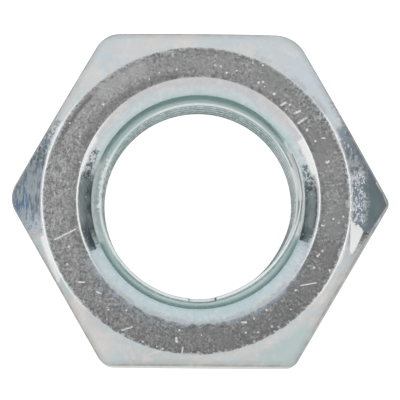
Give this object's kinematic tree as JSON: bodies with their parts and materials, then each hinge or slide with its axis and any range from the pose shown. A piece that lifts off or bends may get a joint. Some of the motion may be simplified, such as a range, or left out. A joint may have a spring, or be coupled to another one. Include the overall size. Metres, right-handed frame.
{
  "type": "hexagon nut",
  "caption": "Hexagon nut with a coarse right-hand internal thread, chamfered corners and countersunk bore mouths, in zinc-plated steel.",
  "frame": {"origin": "on the axis of the threaded bore, in the plane of the lower bearing face", "axes": "+Z along the bore and away from the surface the nut lies on, +X towards a corner, +Y square to a flat"},
  "size_m": [0.034, 0.03, 0.016],
  "materials": {
    "zinc_plate": "bright zinc plate with a pale blue-green passivate film, worn and finely pitted on the bearing faces"
  },
  "bodies": {
    "root": {"nut": "zinc_plate"}
  },
  "joints": []
}
